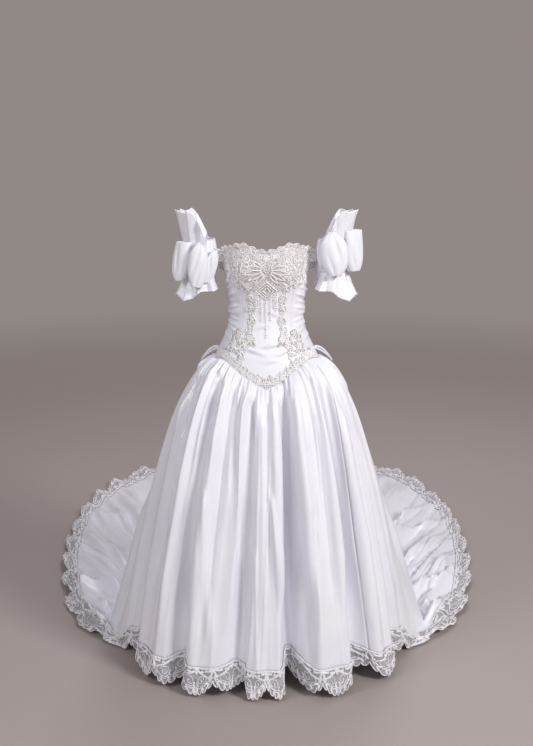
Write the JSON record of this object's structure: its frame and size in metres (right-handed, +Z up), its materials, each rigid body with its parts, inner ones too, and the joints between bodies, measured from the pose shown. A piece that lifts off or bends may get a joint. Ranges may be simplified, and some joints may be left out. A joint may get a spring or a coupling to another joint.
{
  "type": "wedding dress",
  "caption": "Off-the-shoulder satin wedding dress with a beaded pointed-waist bodice, bow sleeves, full gathered skirt and a lace-edged train, open at neck, sleeves and hem.",
  "frame": {"origin": "centre of the wearer's natural waist on the body axis, 1.12 m above the floor, where the wearer holds the dress up", "axes": "+Z up along the body; the front faces -Y and the train runs to +Y; +X is the wearer's left"},
  "size_m": [1.6918, 2.4705, 1.438],
  "materials": {
    "satin": "white satin with a soft sheen",
    "lace": "white corded net lace",
    "beaded_lace": "lace with pearl and glass beads, slightly sparkling"
  },
  "bodies": {
    "root": {"applique_border": "beaded_lace", "applique_scroll_left": "beaded_lace", "applique_scroll_right": "beaded_lace", "applique_yoke": "beaded_lace", "back_button_1": "satin", "back_button_2": "satin", "back_button_3": "satin", "back_button_4": "satin", "back_button_5": "satin", "back_button_6": "satin", "back_button_7": "satin", "back_button_8": "satin", "bodice_back_left": "satin", "bodice_back_right": "satin", "bodice_front": "satin", "bodice_side_left": "satin", "bodice_side_right": "satin", "bow_loop_centre_left": "satin", "bow_loop_centre_right": "satin", "bow_loop_inner_left": "satin", "bow_loop_inner_right": "satin", "bow_loop_outer_left": "satin", "bow_loop_outer_right": "satin", "hanging_loop_left": "satin", "hanging_loop_right": "satin", "lace_back_left": "lace", "lace_back_right": "lace", "lace_front": "lace", "lace_side_left": "lace", "lace_side_right": "lace", "skirt_back_left": "satin", "skirt_back_right": "satin", "skirt_front": "satin", "skirt_side_left": "satin", "skirt_side_right": "satin", "sleeve_band_left": "satin", "sleeve_band_right": "satin", "sleeve_frill_lower_left": "satin", "sleeve_frill_lower_right": "satin", "sleeve_frill_upper_left": "satin", "sleeve_frill_upper_right": "satin", "strap_back_left": "satin", "strap_back_right": "satin", "strap_front_left": "satin", "strap_front_right": "satin"}
  },
  "joints": []
}
